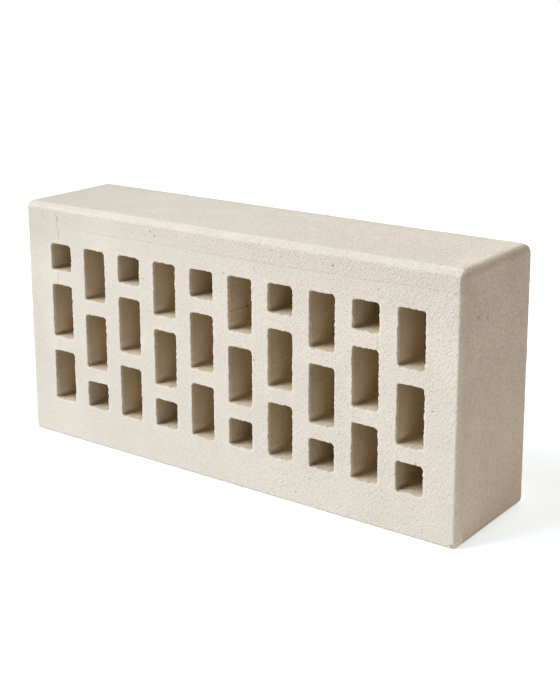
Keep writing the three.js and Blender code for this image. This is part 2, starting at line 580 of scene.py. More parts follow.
def slot_rings(mouth, outward, border, side):
    """The rings of one mouth, from the border down to just before mid-depth, with their
    marks. On the face a ring is (1-s) of the mouth's rim plus s of the border. The rounding
    is a quarter circle whose radius r wanders, larger at the foot and the right of a mouth
    and smaller at its left. A wall ring lies at r plus a share of the way to mid-depth."""
    at = lay(mouth, 0.0, side)
    foot = np.clip(-outward[:, 1], 0, 1)
    right, left = np.clip(outward[:, 0], 0, 1), np.clip(-outward[:, 0], 0, 1)
    torn = layered(at, TEAR) + foot * layered(at, FOOT_TEAR, FOOT_TEAR_MEAN)
    wander = layered(at, WANDER)
    crumb = soft_step(layered(at, CRUMBS), CRUMB_START, CRUMB_END)
    worn = WORN_FOOT * foot + WORN_RIGHT * right - SPARED_LEFT * left
    radius = layered(at, ROUNDING, MEAN_ROUNDING) + CRUMB_RADIUS * crumb + worn
    burr = BURR_HEIGHT * np.clip(layered(at, BURR), 0, 1) * (1 - crumb)
    rings, marks = [], []
    for share, ragged, edge in FACE_RINGS:
        rim = mouth + outward * (radius + ragged * torn)[:, None]
        shift = outward * (wander * (1 - share) ** 2)[:, None]
        flat = (1 - share) * rim + share * border + shift
        rings.append(lay(flat, -burr * ragged, side))
        marks.append(slot_marks(mouth, outward, 0.0, 1.0, edge))
    turn = 1 - math.sqrt(0.5)
    flat = mouth + outward * (turn * radius + torn + wander)[:, None]
    rings.append(lay(flat, turn * radius - 0.5 * burr, side))
    # The rounding's middle counts as a little way into the slot, so it takes some of the slot's
    # painted shade, most at a mouth's left edge, which faces away from the key lamp.
    shade = 0.005 + 0.005 * foot + 0.015 * left  # how deep the rounding's middle counts
    marks.append(slot_marks(mouth, outward, shade, 0.8, 1.0))
    for share, ragged, edge in WALL_RINGS:
        flat = mouth + outward * (ragged * torn + wander)[:, None]
        depth = radius + share * (THICKNESS / 2 - radius)
        rings.append(lay(flat, depth, side))
        marks.append(slot_marks(mouth, outward, max(share, 0.01), 0.3 * edge, edge))
    return rings, marks


print("rings from a cell's border to mid-depth:", len(FACE_RINGS) + 1 + len(WALL_RINGS) + 1)

# %% [markdown]
# A slot's mouth has as many points as its cell's border, so each point of the border is
# joined to one of the mouth, at the same share of its side. The far mouth is made the same
# way, and the two halves meet at mid-depth.

# %% One slot
def slot_surface(column, slot):
    """One slot's rings from the near cell border to the far one, as a grid that closes on
    itself, and the marks of each ring."""
    low, high = column_slots(column)[slot]
    below, above = (
        LEVEL_AT[round(level, 3)] for level in column_levels(column)[2 - slot : 4 - slot]
    )
    xs = field_x[column * ACROSS : (column + 1) * ACROSS + 1]
    zs = field_z[below : above + 1]
    border = np.concatenate(
        [
            np.stack([xs, 0 * xs + zs[0]], -1)[:-1],
            np.stack([0 * zs + xs[-1], zs], -1)[:-1],
            np.stack([xs, 0 * xs + zs[-1]], -1)[:0:-1],
            np.stack([0 * zs + xs[0], zs], -1)[:0:-1],
        ]
    )
    middle = (xs[0] + xs[-1]) / 2
    box = (middle - SLOT_WIDTH / 2, low, middle + SLOT_WIDTH / 2, high)
    curl = [
        (SLOT_RADII[i] + SLOT_RADII[(i + 1) % 4]) * (math.pi / 4 - 1) for i in range(4)
    ]
    shares = [(line - line[0]) / (line[-1] - line[0]) for line in (xs, zs)]
    walks = [
        shares[0] * (SLOT_WIDTH + curl[0]),
        shares[1] * (high - low + curl[1]),
        (1 - shares[0])[::-1] * (SLOT_WIDTH + curl[2]),
        (1 - shares[1])[::-1] * (high - low + curl[3]),
    ]
    mouth, outward = walk_outline(box, SLOT_RADII, walks)
    near, marks = slot_rings(mouth, outward, border, -1)
    far, _ = slot_rings(mouth, outward, border, 1)
    deep = [lay(mouth, THICKNESS / 2, 1)]
    middle_marks = [slot_marks(mouth, outward, 1.0, 0.0, 0.0)]
    return np.array(near + deep + far[::-1]), marks + middle_marks + marks[::-1]


print("rings and points around the first slot:", slot_surface(0, 0)[0].shape[:2])


# %% [markdown]
# ## The outer band
#
# The chamfers, the die's round corners and the four long faces are one closed band of
# outlines, from the near cut face to the far one. A real chamfer's edges are soft to the
# finger, so each is a short arc. That is modelled here, because a bevel tool would round
# the torn edges of the slots as well.

# %% Outer band
CHAMFER_TURN = 0.5  # how far the softened edge of a chamfer reaches along each face
CHAMFER_PULL = 0.19 * CHAMFER_TURN  # from the sharp edge to the middle of the arc
CHAMFER_LEAN = 0.4  # the middle lies aside by this share of the pull, about tan(22.5 degrees)
CUT_ENDS = (CHAMFER - 0.4, CHAMFER + CHAMFER_TURN)  # the depths where the cut clay ends
EDGE_DEPTHS = (0.2, CHAMFER)  # where the two edges of the chamfer lie
EDGE_FADE = (0.1, 0.7)  # how far from an edge its mark fades
CHAMFER_EDGE = 0.75  # how much of an edge the whole chamfer counts as
BAND_STEPS = 6


def chamfer_profile():
    """The insets and depths of the outlines across a chamfer: 45 degrees, with its two
    edges softened by short arcs. An arc's end points touch the flats, and its middle is
    drawn in from the sharp edge. The second half mirrors the first."""
    half = CHAMFER_TURN * math.sqrt(0.5)
    upper = [
        (CHAMFER + CHAMFER_TURN, 0.0),
        (CHAMFER + CHAMFER_LEAN * CHAMFER_PULL, CHAMFER_PULL),
        (CHAMFER - half, half),
    ]
    return upper + [(CHAMFER / 2, CHAMFER / 2)] + [(depth, inset) for inset, depth in upper[::-1]]


def foot_inset(depth):
    """The worn edge of the plain side is a quarter circle: it is drawn in by
    r - sqrt(r^2 - (r - depth)^2) down to a depth of r, and by nothing beyond."""
    reach = max(FOOT_RADIUS - depth, 0)
    return FOOT_RADIUS - math.sqrt(FOOT_RADIUS**2 - reach**2)


def band_surface():
    """The outlines of the outer band from the near face to the far one, with marks. Its
    clay counts as cut down to the end of the chamfer, and as edge near the chamfer's two
    edges and, a little less, all over the chamfer."""
    profile = chamfer_profile()
    reach = profile[-1][1]
    sides = np.linspace(reach, THICKNESS - reach, BAND_STEPS + 1)[1:-1]
    rows = [(inset, depth, -1) for inset, depth in profile]
    rows += [(0.0, depth, -1) for depth in sides]
    rows += [(inset, depth, 1) for inset, depth in profile[::-1]]
    rings, marks = [], []
    for inset, depth, side in rows:
        near = min(depth, THICKNESS - depth)
        flat, _ = brick_outline(inset, inset, foot_inset(near))
        rings.append(lay(flat, depth, side))
        cut = 1.0 - soft_step(np.array(near), *CUT_ENDS)
        off_edge = min(abs(near - edge_depth) for edge_depth in EDGE_DEPTHS)
        edge = 1 - soft_step(np.array(off_edge), *EDGE_FADE) * (1 - CHAMFER_EDGE * cut)
        edge *= near > 0
        marks.append((0.0, float(cut), float(edge), 0.0, 0.0))
    return np.array(rings), marks


print("outlines and points around the band:", band_surface()[0].shape[:2])

# %% [markdown]
# ## The margins of the cut faces
#
# Between the field of slots and the brick's outline, each cut face has eight patches. The
# four strips are ruled: straight lines from one edge to the other. The four corners are
# Coons patches, which fill the space between four given edges.

# %% Margins
def margin_surfaces(side):
    """The eight patches of one cut face, from the outline's corners round to the field. A
    strip is (1-s) of the outline plus s of the field's edge. A corner is the sum of the two
    ruled surfaces between its opposite edges, less the one through its four corners."""
    loop, _ = brick_outline(*[CHAMFER + CHAMFER_TURN] * 2, foot_inset(0))
    count = len(loop)
    wide, tall = len(field_x) - 1 + 2 * EDGE, len(field_z) - 1 + 2 * EDGE
    starts = (0, wide, wide + tall, 2 * wide + tall)
    inner = (
        np.stack([field_x, 0 * field_x + FIELD_FOOT], -1),
        np.stack([0 * field_z + FIELD_X, field_z], -1),
        np.stack([field_x, 0 * field_x + FIELD_TOP], -1)[::-1],
        np.stack([0 * field_z - FIELD_X, field_z], -1)[::-1],
    )
    share = EDGE_SHARES[:, None, None]
    u, v = EDGE_SHARES[None, :, None], EDGE_SHARES[:, None, None]
    patches = []
    for start, edge in zip(starts, inner):
        outer = loop[(start + EDGE + np.arange(len(edge))) % count]
        patches.append((1 - share) * outer + share * edge)
        before = loop[(start - np.arange(EDGE + 1)) % count]
        after = loop[(start + np.arange(EDGE + 1)) % count]
        field = edge[0]
        first = before[-1] + EDGE_SHARES[:, None] * (field - before[-1])
        second = after[-1] + EDGE_SHARES[:, None] * (field - after[-1])
        corners = (
            (1 - u) * (1 - v) * before[0]
            + u * (1 - v) * before[-1]
            + (1 - u) * v * after[-1]
            + u * v * field
        )
        ruled = (1 - v) * before + v * second + (1 - u) * after[:, None] + u * first[:, None]
        patches.append((ruled - corners)[:, ::-1])
    grids = []
    for patch in patches:
        points = lay(patch.reshape(-1, 2), 0.0, side)
        grids.append(points.reshape(patch.shape[:2] + (3,)))
    return grids


print("points across and along each patch:", [patch.shape[:2] for patch in margin_surfaces(-1)])


# %% [markdown]
# ## One closed skin
#
# The grids are joined where their points coincide, so the brick is one closed skin, as the
# real one is.

# %% Join the grids
def grid_faces(rows, columns, closed, flip):
    """The four-cornered faces of a grid, as point numbers. A closed grid's last column
    joins its first; flip turns the faces over."""
    i = np.arange(rows - 1)[:, None]
    j = np.arange(columns if closed else columns - 1)[None]
    k = (j + 1) % columns
    row, following = i * columns, (i + 1) * columns
    faces = np.stack([row + j, row + k, following + k, following + j], -1).reshape(-1, 4)
    return faces[:, ::-1] if flip else faces


MARGIN_MARKS = (0.0, 1.0, 0.0, 0.0, 0.0)  # no slot, all cut face, no edge
JOIN_WITHIN = 0.001
points, faces, marks = [], [], []


def collect(grid, ring_marks, closed, flip):
    """Adds a grid to the skin. Its marks are given for each ring, or for each point."""
    rows, columns = grid.shape[:2]
    faces.append(grid_faces(rows, columns, closed, flip) + sum(map(len, points)))
    points.append(grid.reshape(-1, 3))
    given = np.array(ring_marks, float).reshape(rows, -1, len(MARKS))
    marks.append(np.broadcast_to(given, (rows, columns, len(MARKS))).reshape(-1, len(MARKS)))


for column in range(COLUMNS):
    for slot in range(3):
        grid, ring_marks = slot_surface(column, slot)
        collect(grid, ring_marks, closed=True, flip=False)
grid, ring_marks = band_surface()
collect(grid, ring_marks, closed=True, flip=True)
for side in (-1, 1):
    for patch in margin_surfaces(side):
        collect(patch, [MARGIN_MARKS] * len(patch), closed=False, flip=side > 0)

points, faces, marks = (np.concatenate(part) for part in (points, faces, marks))
key = np.round(points / JOIN_WITHIN + 0.31831).astype(np.int64)  # off the rounding's steps
_, first, joined = np.unique(key, axis=0, return_index=True, return_inverse=True)
points, marks, faces = points[first], marks[first], joined.reshape(-1)[faces]
print("points and faces of the skin:", len(points), len(faces))

# %% [markdown]
# A closed skin with its faces outwards has no open edge and a positive volume, and both are
# measured before anything else is done to it.

# %% Measure the skin
def open_edges(faces, count):
    """Edges that aren't used once each way: in a closed skin there are none."""
    start, end = faces.reshape(-1), np.roll(faces, -1, axis=1).reshape(-1)
    way = start * count + end
    back = end * count + start
    return int(np.sum(~np.isin(way, back))) + len(way) - len(np.unique(way))


def volume(points, faces):
    """The sum over faces of the signed volume between each and the origin."""
    a, b, c, d = (points[faces[:, i]] for i in range(4))
    return float(np.sum(a * np.cross(b, c) + a * np.cross(c, d)) / 6)


print("open edges:", open_edges(faces, len(points)))
print("litres of clay:", round(volume(points, faces) / 1e6, 3))

# %% [markdown]
# ## Relief
#
# The skin is now moved a little along its own outward direction. Long slow waves come from
# the drying, and the cut faces are sandy. The slot walls have faint lines along the way the
# clay ran through the die.

# %% Displace the skin
def outward_directions(points, faces):
    """Each point's direction is the sum of its faces' directions, weighted by their area:
    the cross product of a face's diagonals is twice its area long."""
    a, b, c, d = (points[faces[:, i]] for i in range(4))
    facing = np.cross(c - a, d - b)
    total = np.zeros_like(points)
    for i in range(4):
        for axis in range(3):
            total[:, axis] += np.bincount(faces[:, i], facing[:, axis], len(points))
    return total / np.linalg.norm(total, axis=1)[:, None]


WAVES = ((0.10, 42.0, 21), (0.05, 13.0, 22))  # strength, size and seed
SAND = ((0.055, 2.4, 23), (0.035, 1.25, 24))
DIE_LINES = ((0.05, (1.6, 60.0, 1.6), 25),)  # long in the way the clay ran

depth, cut, edge = marks.T[:3]
relief = layered(points, WAVES)
relief = relief + layered(points, SAND) * (0.25 + 0.75 * cut + 0.6 * edge)
relief = relief + layered(points, DIE_LINES) * (depth > 0)
points = points + outward_directions(points, faces) * relief[:, None]
print("relief, mm:", round(relief.min(), 2), "to", round(relief.max(), 2))

# %% [markdown]
# The mesh gets the skin's points in metres, in the brick's own place, and the marks as
# attributes of its points. It is hung on the body, so that it rides on it, and the imported
# brick is hidden.

# %% Make the mesh
skin = bpy.data.meshes.new("brick_body")
skin.from_pydata((points / 1000).tolist(), [], faces.tolist())
skin.polygons.foreach_set("use_smooth", np.ones(len(faces), bool))
for name, values in zip(MARKS, marks.T):
    layer = skin.attributes.new(name, "FLOAT", "POINT")
    layer.data.foreach_set("value", values.astype(np.float32))
skin.update()
brick = bpy.data.objects.new("brick_body", skin)
bpy.context.collection.objects.link(brick)
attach(brick, "root")
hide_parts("brick")
print("triangles:", sum(len(polygon.vertices) - 2 for polygon in skin.polygons))

# %% [markdown]
# ## Fired clay: the grain
#
# The clay is a warm off-white and quite matt. Its finest relief would take millions of
# faces, so it is a bump, made once as a node group: fine sand, coarser crumbs, strokes and
# pits, each with its own share. The helpers come first.

# %% Grain helpers
FLOAT, VECTOR = "NodeSocketFloat", "NodeSocketVector"


def new_group(name, inputs, outputs):
    """An empty node group with named float or vector inputs and float outputs."""
    group = bpy.data.node_groups.new(name, "ShaderNodeTree")
    for label, kind, value in inputs:
        socket = group.interface.new_socket(label, in_out="INPUT", socket_type=kind)
        if value is not None:
            socket.default_value = value
    for label in outputs:
        group.interface.new_socket(label, in_out="OUTPUT", socket_type=FLOAT)
    return group, put(group, "NodeGroupInput").outputs, put(group, "NodeGroupOutput")


def speckle(tree, place, size, detail, roughness=0.6):
    """Noise of 0 to 1 with lumps of about the given size in metres."""
    inputs = {"Vector": place, "Scale": 1 / size, "Detail": detail, "Roughness": roughness}
    return put(tree, "ShaderNodeTexNoise", inputs).outputs["Fac"]


def strokes(tree, place, angle, wide, long):
    """Noise drawn out into strokes that rise at an angle across the cut face. Each
    coordinate is the place's share along, across or through the strokes."""
    rise, flat = math.sin(angle), math.cos(angle)
    ways = ((flat / long, 0.0, rise / long), (-rise / wide, 0.0, flat / wide), (0.0, 1 / wide, 0.0))
    parts = [vector_calc(tree, "DOT_PRODUCT", place, way) for way in ways]
    laid = put(tree, "ShaderNodeCombineXYZ", dict(enumerate(parts))).outputs[0]
    return speckle(tree, laid, 1.0, 1.0, 0.5)


print("kinds of socket in a group:", FLOAT, VECTOR)

# %% [markdown]
# A pit sits in the middle of some cells of a Voronoi pattern. A second group gives the slow
# cloudiness and the dust of the clay's colour.

# %% Grain group
SAND_SIZE, CRUMB_SIZE, CLOUD_SIZE, DUST_SIZE = 0.0009, 0.0032, 0.024, 0.0007  # metres
STROKE_WIDTH, STROKE_LENGTH = 0.0008, 0.0034
STROKE_ANGLE = math.radians(54)
PIT_CELLS = 260.0  # in a metre
PIT_REACH = 0.14  # the largest pit's radius, in its cell's own measure
PIT_DEPTH = -1.5  # beside the sand's height of 0 to 1

grain, given, result = new_group(
    "clay_grain",
    [
        ("Place", VECTOR, None),
        ("Sand", FLOAT, 1.0),
        ("Crumbs", FLOAT, 1.0),
        ("Fibres", FLOAT, 0.0),
        ("Pits", FLOAT, 0.0),
    ],
    ["Height", "Pit"],
)
sand = speckle(grain, given["Place"], SAND_SIZE, 1.0, 0.6)
crumbs = speckle(grain, given["Place"], CRUMB_SIZE, 3.0, 0.55)
fibres = strokes(grain, given["Place"], STROKE_ANGLE, STROKE_WIDTH, STROKE_LENGTH)
cells = put(grain, "ShaderNodeTexVoronoi", {"Vector": given["Place"], "Scale": PIT_CELLS})
sizes = put(grain, "ShaderNodeSeparateColor", {0: cells.outputs["Color"]}).outputs
limit = calc(grain, "MULTIPLY", ramp(grain, sizes[0], 0.8, 1.0, 0.0, PIT_REACH), given["Pits"])
pit = calc(grain, "DIVIDE", cells.outputs["Distance"], calc(grain, "MAXIMUM", limit, 0.001))
pit = ramp(grain, pit, 0.5, 1.0, 1.0, 0.0)
height = calc(grain, "MULTIPLY", sand, given["Sand"])
height = calc(grain, "MULTIPLY_ADD", crumbs, given["Crumbs"], height)
height = calc(grain, "MULTIPLY_ADD", fibres, given["Fibres"], height)
height = calc(grain, "MULTIPLY_ADD", pit, PIT_DEPTH, height)
grain.links.new(height, result.inputs["Height"])
grain.links.new(pit, result.inputs["Pit"])

patches, given, result = new_group("clay_patches", [("Place", VECTOR, None)], ["Cloud", "Dust"])
patches.links.new(speckle(patches, given["Place"], CLOUD_SIZE, 3.0), result.inputs["Cloud"])
patches.links.new(speckle(patches, given["Place"], DUST_SIZE, 1.0), result.inputs["Dust"])
print("nodes in the grain and the patches:", len(grain.nodes), len(patches.nodes))

# %% [markdown]
# ## Fired clay: a thin line
#
# A hairline crack is a wavering line between two points. This group gives its mask: the
# distance to the nearest point between the two ends, over the line's width, with the place
# shaken a little first. With both ends close together it draws a small pit or speck.

# %% Line group
SHAKES = 160.0  # in a metre

line, given, result = new_group(
    "thin_line",
    [
        ("Place", VECTOR, None),
        ("From", VECTOR, None),
        ("To", VECTOR, None),
        ("Width", FLOAT, 0.0005),
        ("Wobble", FLOAT, 0.001),
    ],
    ["Mask"],
)
shake = put(line, "ShaderNodeTexNoise", {"Vector": given["Place"], "Scale": SHAKES, "Detail": 3.0})
shake = vector_calc(line, "SUBTRACT", shake.outputs["Color"], (0.5, 0.5, 0.5))
shaken = vector_calc(line, "SCALE", shake, scale=given["Wobble"])
place = vector_calc(line, "ADD", given["Place"], shaken)
run = vector_calc(line, "SUBTRACT", given["To"], given["From"])
gone = vector_calc(line, "SUBTRACT", place, given["From"])
length = calc(line, "MAXIMUM", vector_calc(line, "DOT_PRODUCT", run, run), 1e-9)
share = calc(line, "DIVIDE", vector_calc(line, "DOT_PRODUCT", gone, run), length, clamp=True)
foot = vector_calc(line, "SCALE", run, scale=share)
away = vector_calc(line, "LENGTH", vector_calc(line, "SUBTRACT", gone, foot))
mask = ramp(line, calc(line, "DIVIDE", away, given["Width"]), 0.35, 1.0, 1.0, 0.0)
line.links.new(mask, result.inputs["Mask"])
print("nodes in the line:", len(line.nodes))

# %% [markdown]
# ## Fired clay: a material that knows where it is
#
# The brick is one piece of clay, so it has one material, whose zones fade into each other.
# It reads the object's own coordinates, so the pattern stays with the brick, and five marks
# of the mesh: how deep in a slot a point is, whether the wire cut it, whether it is on an
# edge, whether it lies on a sill, and how high in its slot it is. Ramps turn these into
# shares from 0 to 1. The helpers below keep the sums that follow short.

# %% Material and its helpers
MM = 0.001  # in metres

clay = bpy.data.materials.new("fired_clay")
clay.use_nodes = True
tree = clay.node_tree
tree.nodes.clear()


def mark(name):
    """One of the mesh's marks."""
    return put(tree, "ShaderNodeAttribute", attribute_name=name).outputs["Fac"]


def plus(first, second):
    """The sum of two values."""
    return calc(tree, "ADD", first, second)


def times(first, second):
    """The product of two values."""
    return calc(tree, "MULTIPLY", first, second)


def grown(value, factor, start):
    """The start plus the factor times the value."""
    return calc(tree, "MULTIPLY_ADD", value, factor, start)


def fade(value, start, end, low=0.0, high=1.0):
    """A ramp whose start and end are shares."""
    return ramp(tree, value, start, end, low, high)


def fade_mm(value, start, end, low=0.0, high=1.0):
    """A ramp whose start and end are in millimetres."""
    return ramp(tree, value, start * MM, end * MM, low, high)


def mixed(share, first, second):
    """The first colour where the share is 0, and the second where it is 1."""
    return blend(tree, "MIX", share, first, second)


place = put(tree, "ShaderNodeTexCoord").outputs["Object"]
along, through, up = put(tree, "ShaderNodeSeparateXYZ", {0: place}).outputs
deep_share, cut_share, edge_share, sill_share, rise_share = (mark(name) for name in MARKS)
cloud, dust = put(tree, "ShaderNodeGroup", {"Place": place}, node_tree=patches).outputs
print("nodes for the marks and places:", len(tree.nodes))

# %% [markdown]
# The zones that several steps share are made first: the right end, the cut faces outside
# the slots, the same below the top chamfer, and how far right and up on them a point lies.

# %% Zones
end_share = fade_mm(along, LENGTH / 2 - 3.1, LENGTH / 2 - 2.3)
rightward = fade_mm(along, -130, 80)
on_face = times(cut_share, fade(deep_share, 0.0, 0.02, 1.0, 0.0))
below_edge = fade_mm(up, HEIGHT - CHAMFER, HEIGHT - 2.2, 1.0, 0.0)
face_only = times(on_face, below_edge)
upward = times(fade_mm(up, 30, 105), face_only)
off_cut = calc(tree, "SUBTRACT", 1.0, cut_share)
print("nodes after the zones:", len(tree.nodes))

# %% [markdown]
# ## Fired clay: the wire's drag
#
# The wire drags the clay below the top chamfer, and leaves a rougher, slightly darker strip
# with a faint line at its lower border. The border wavers with the cloudiness and the dust,
# and rises a little towards the right.

# %% Drag strip and its line
DRAG_LEVEL, DRAG_TOP = 109.0, 115.5  # millimetres above the foot

waver = grown(dust, 0.6 * MM, grown(cloud, 1.6 * MM, -1.1 * MM))
level_here = plus(plus(up, waver), fade_mm(along, 20, 130, 0.0, -1.0 * MM))
border = fade_mm(level_here, DRAG_LEVEL - 0.4, DRAG_LEVEL + 0.4, 0.0, 0.25)
blurred = plus(up, grown(cloud, 10 * MM, -5 * MM))
blurred = fade_mm(blurred, DRAG_LEVEL - 4, DRAG_TOP, 0.0, 0.55)
dragged = times(plus(border, blurred), fade_mm(along, -120, -90))
dragged = times(times(dragged, on_face), below_edge)

off_line = calc(tree, "ABSOLUTE", calc(tree, "SUBTRACT", level_here, DRAG_LEVEL * MM))
drag_line = times(fade_mm(off_line, 0.1, 0.6, 1.0, 0.0), on_face)
drag_line = times(drag_line, fade(cloud, 0.4, 0.55, 0.45, 1.0))
drag_line = times(drag_line, fade_mm(along, -110, -50))
print("drag strip, mm:", DRAG_LEVEL, "to", DRAG_TOP)

# %% [markdown]
# The grain's shares change over the brick: the cut faces have more crumbs, but for their top
# right corner, the strokes grow towards the right with the square of the share, and pits
# are wider where the wire dragged.

# %% Shares of the grain
by_corner = times(upward, fade_mm(along, 85, 110))
shares = {
    "Place": place,
    "Sand": grown(rightward, -0.17, grown(upward, 0.03, 0.85)),
    "Crumbs": grown(by_corner, -0.12, grown(on_face, 0.08, 0.3)),
    "Fibres": times(face_only, grown(times(rightward, rightward), 0.65, 0.12)),
    "Pits": grown(dragged, 0.4, 0.9),
}
grained = put(tree, "ShaderNodeGroup", shares, node_tree=grain)
print("grain:", ", ".join(list(shares)[1:]))

# %% [markdown]
# ## Fired clay: the outer faces
#
# The cut faces and the faces that slid along the die differ a little in colour. The right
# end, which the key lamp leaves in shade, gets painted warm shade: a darker, warmer copy of
# the clay, paler on its chamfer and palest near the top. The drag's clay and line come next.
# Edges are a little paler, where the skin is rubbed, and a faint line of painted shade runs
# along the foot of the cut face.

# %% Colours of the outer faces
CLAY = linear(231, 224, 212)
DIE_FACE = linear(221, 217, 208)
# Painted warm shade for the right end, which the key lamp leaves in shade: a darker, warmer copy of
# the clay for its face, and paler copies for its chamfer.
RIGHT_END_SHADE = linear(220, 210, 196)
RIGHT_BEVEL_SHADE = linear(234, 222, 204)
RIGHT_BEVEL_LIGHT = linear(245, 231, 208)
DRAG_CLAY = linear(219, 211, 197)
DRAG_LINE = linear(200, 185, 163)
PALE_EDGE = linear(238, 233, 224)
SILL_TONE_AND_FOOT_SHADE = linear(206, 192, 170)  # the slots' sills, and painted shade along the foot of the cut face

off_die = calc(tree, "MAXIMUM", cut_share, fade(deep_share, 0.0, 0.01))
colour = mixed(off_die, DIE_FACE, CLAY)
# The right end takes its painted shade, and its chamfer gets paler, painted light, towards the top.
end_cut = times(cut_share, fade_mm(up, HEIGHT - DIE_RADIUS, HEIGHT - 2.5, 1.0, 0.0))
bevel_shading = mixed(fade_mm(up, 80, 112), RIGHT_BEVEL_SHADE, RIGHT_BEVEL_LIGHT)
colour = mixed(end_share, colour, mixed(end_cut, RIGHT_END_SHADE, bevel_shading))
colour = mixed(times(dragged, grown(rightward, 0.15, 0.45)), colour, DRAG_CLAY)
colour = mixed(times(drag_line, 0.38), colour, DRAG_LINE)
paled = times(times(edge_share, grown(end_share, -0.6, 0.6)), cut_share)
colour = mixed(paled, colour, PALE_EDGE)
rubbed = times(edge_share, fade_mm(up, 20, 55, 0.5, 0.0))
colour = mixed(times(rubbed, times(end_share, off_cut)), colour, PALE_EDGE)
# Painted shade: a faint brownish line along the foot of the cut face, where its worn edge turns
# under.
foot_shade_line = times(fade_mm(up, 0.4, 1.4, 1.0, 0.0), cut_share)
foot_shade_line = times(foot_shade_line, fade(cloud, 0.35, 0.6, 0.15, 0.4))
colour = mixed(foot_shade_line, colour, SILL_TONE_AND_FOOT_SHADE)
print("nodes after the outer faces:", len(tree.nodes))

# %% [markdown]
# ## Fired clay: inside the slots
#
# Inside a slot the colour is darker and browner than on the faces: painted shade, on top of
# the shade that the slot casts itself. Its walls get painted light low down and painted shade
# under the ceiling, with more painted light where they meet the sill, and a sill gets painted
# shade at the back and along its walls. The slots repeat with the columns' pitch, so the
# fraction of a point's distance in pitches says where between two webs it lies.

# %% Colours inside the slots
# Painted shade inside a slot: from the mouth inwards the colour grows darker and browner.
MOUTH_SHADE = linear(226, 211, 186)
SLOT_SHADE = linear(205, 189, 162)
CORE_SHADE = linear(206, 187, 154)  # painted warm shade deep in a slot
# painted shade at the back of a sill and along its walls
SILL_REAR_SHADE = linear(176, 158, 132)
WALL_FOOT_LIGHT = linear(247, 235, 212)  # painted light where a slot's walls meet its sill
WALL_LIGHT_LOW = (1.14, 1.17, 1.27, 1.0)  # painted light: the tint of a slot's walls at its sill
WALL_SHADE_HIGH = (0.89, 0.845, 0.80, 1.0)  # painted shade: their tint at its ceiling
WALL_SHARE = SLOT_WIDTH / 2 / COLUMN_PITCH  # from a slot's middle to its walls, in pitches

inside = mixed(fade(deep_share, 0.02, 0.08), MOUTH_SHADE, SLOT_SHADE)
# Painted light low on a slot's walls and painted shade under its ceiling, and more painted light
# where the walls meet the sill.
wall_tint = mixed(rise_share, WALL_LIGHT_LOW, WALL_SHADE_HIGH)
inside = blend(tree, "MULTIPLY", 1.0, inside, wall_tint)
inside = mixed(fade(rise_share, 0.0, 0.2, 0.9, 0.0), inside, WALL_FOOT_LIGHT)

# Painted shade on a sill: darker along its walls, found from where a point lies between two webs,
# and darker towards the back.
across = calc(tree, "FRACT", calc(tree, "DIVIDE", along, COLUMN_PITCH * MM))
off_middle = calc(tree, "ABSOLUTE", calc(tree, "SUBTRACT", across, 0.5))
by_wall = fade(off_middle, WALL_SHARE - 0.22, WALL_SHARE, 0.0, 0.85)
by_wall = times(by_wall, fade(deep_share, 0.02, 0.1))
sill_back = calc(tree, "MAXIMUM", by_wall, fade(deep_share, 0.08, 0.2, 0.0, 0.5))
inside = mixed(sill_share, inside, mixed(sill_back, SILL_TONE_AND_FOOT_SHADE, SILL_REAR_SHADE))
inside = mixed(fade(deep_share, 0.2, 0.5), inside, CORE_SHADE)

# How much of the slot's colours, with their painted shade, a point takes: a wall takes them all
# just past the rounding, a sill more slowly.
walls = fade(deep_share, 0.0, 0.026)
sills = plus(fade(deep_share, 0.0, 0.012, 0.0, 0.75), fade(deep_share, 0.012, 0.1, 0.0, 0.25))
blend_in = put(tree, "ShaderNodeMix", {0: sill_share, 2: walls, 3: sills}).outputs[0]
colour = mixed(blend_in, colour, inside)
print("a slot's walls from its middle, mm:", round(WALL_SHARE * COLUMN_PITCH, 2))

# %% [markdown]
# ## Fired clay: dust
#
# Fine dust makes the colour uneven from grain to grain. It shows most in blue, so dark
# flecks are browner. There is more of it towards the right, off the cut faces and where the
# wire dragged. Towards the left end a cool tint is painted, against the warm backdrop light
# that grazes that end.

# %% Dust in the colour
level = grown(rightward, 0.4, 0.16)
level = plus(times(upward, grown(rightward, -0.1, 0.1)), level)
level = times(level, grown(cut_share, -0.5, 1.5))
rougher = plus(fade_mm(along, -50, -10, 0.1, 0.4), fade_mm(along, 98, 114, 0.0, -0.55))
level = times(level, grown(dragged, rougher, 1.0))
level = times(level, grown(end_share, fade_mm(up, 50, 105, -0.12, 0.12), 1.0))
dusty = times(calc(tree, "SUBTRACT", dust, 0.5), level)

# A painted cool tint on the left end, which offsets the warm backdrop light grazing it.
painted_cool_left = times(fade_mm(along, -124, -112), calc(tree, "SUBTRACT", 1.0, rightward))
painted_cool_left = times(painted_cool_left, fade(deep_share, 0.0, 0.01, 1.0, 0.0))
tints = (  # for red, green and blue
    grown(dusty, 0.7, grown(painted_cool_left, -0.015, 1.0)),
    plus(dusty, 1.0),
    grown(dusty, 1.35, grown(painted_cool_left, 0.01, 1.0)),
)
tint = put(tree, "ShaderNodeCombineXYZ", dict(enumerate(tints))).outputs[0]
colour = vector_calc(tree, "MULTIPLY", colour, tint)
print("nodes after the dust:", len(tree.nodes))

# %% [markdown]
# ## Fired clay: tone
#
# The tone is what the colour is multiplied by: 1, and small amounts more or less. Slow
# clouds cover everything. The right end has painted light at its foot, where the floor
# throws light back, fading to painted shade at its top, and painted shade in its near lower
# corner. The top face darkens to the left and lightens to the right, and a cut face is a
# little darker towards its ends, most of all above the slots.

# %% Tone
clouds = calc(tree, "SUBTRACT", fade(cloud, 0.35, 0.7), 0.7)
cloudy = plus(times(clouds, grown(end_share, 0.03, 0.05)), 1.0)

